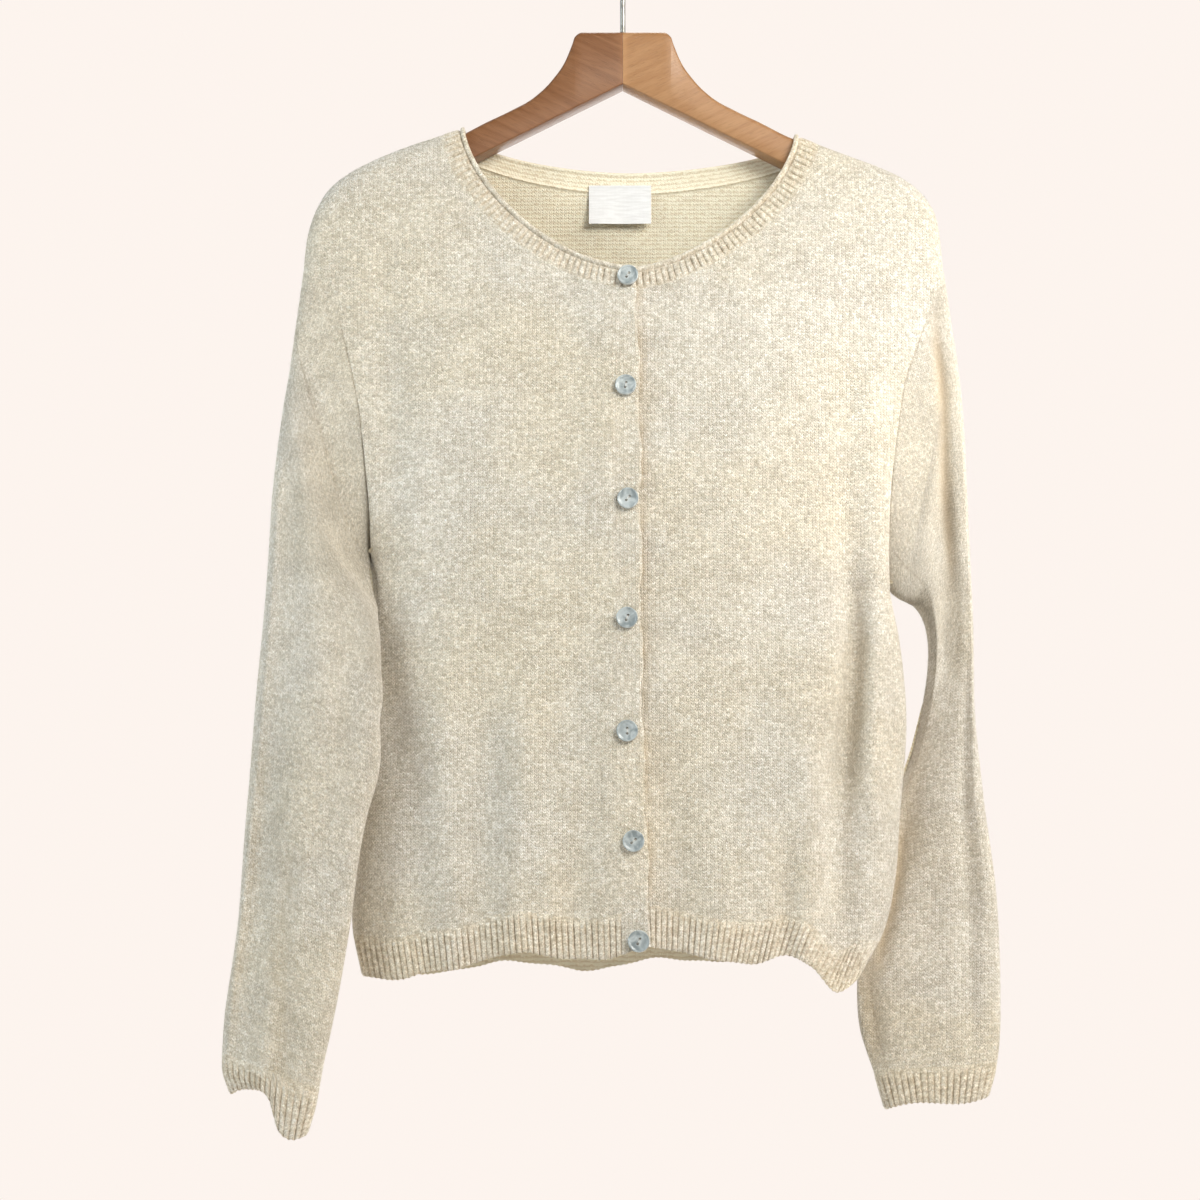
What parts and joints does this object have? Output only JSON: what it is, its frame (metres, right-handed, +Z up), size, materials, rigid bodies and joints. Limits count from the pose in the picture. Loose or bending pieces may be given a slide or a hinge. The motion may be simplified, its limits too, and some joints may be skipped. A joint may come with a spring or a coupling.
{
  "type": "button cardigan on hanger",
  "caption": "Long-sleeved wool cardigan buttoned down the front, hanging open at neck, hem and cuffs on a wooden hanger with a wire hook.",
  "frame": {"origin": "inside of the hook's crown, where the rail carries the hanger", "axes": "+Z up, the buttoned front faces -Y, +X towards the wearer's left"},
  "size_m": [0.5025, 0.1092, 0.825],
  "materials": {
    "wool": "brushed heathered knit, cream",
    "shell": "polished shell, blue-grey",
    "dark_wood": "oiled red-brown wood",
    "light_wood": "oiled lighter brown wood",
    "wire": "bright drawn steel wire",
    "woven_label": "white satin weave, blank"
  },
  "bodies": {
    "root": {"back_panel": "wool", "front_right": "wool", "front_left": "wool", "sleeve_right": "wool", "sleeve_left": "wool", "cuff_right": "wool", "cuff_left": "wool", "hem_rib_back": "wool", "hem_rib_front_right": "wool", "hem_rib_front_left": "wool", "neckband": "wool", "placket_right": "wool", "placket_left": "wool", "button_1": "shell", "button_2": "shell", "button_3": "shell", "button_4": "shell", "button_5": "shell", "button_6": "shell", "button_7": "shell", "neck_label": "woven_label", "hanger_arm_right": "dark_wood", "hanger_arm_left": "light_wood", "hanger_hook": "wire"}
  },
  "joints": []
}
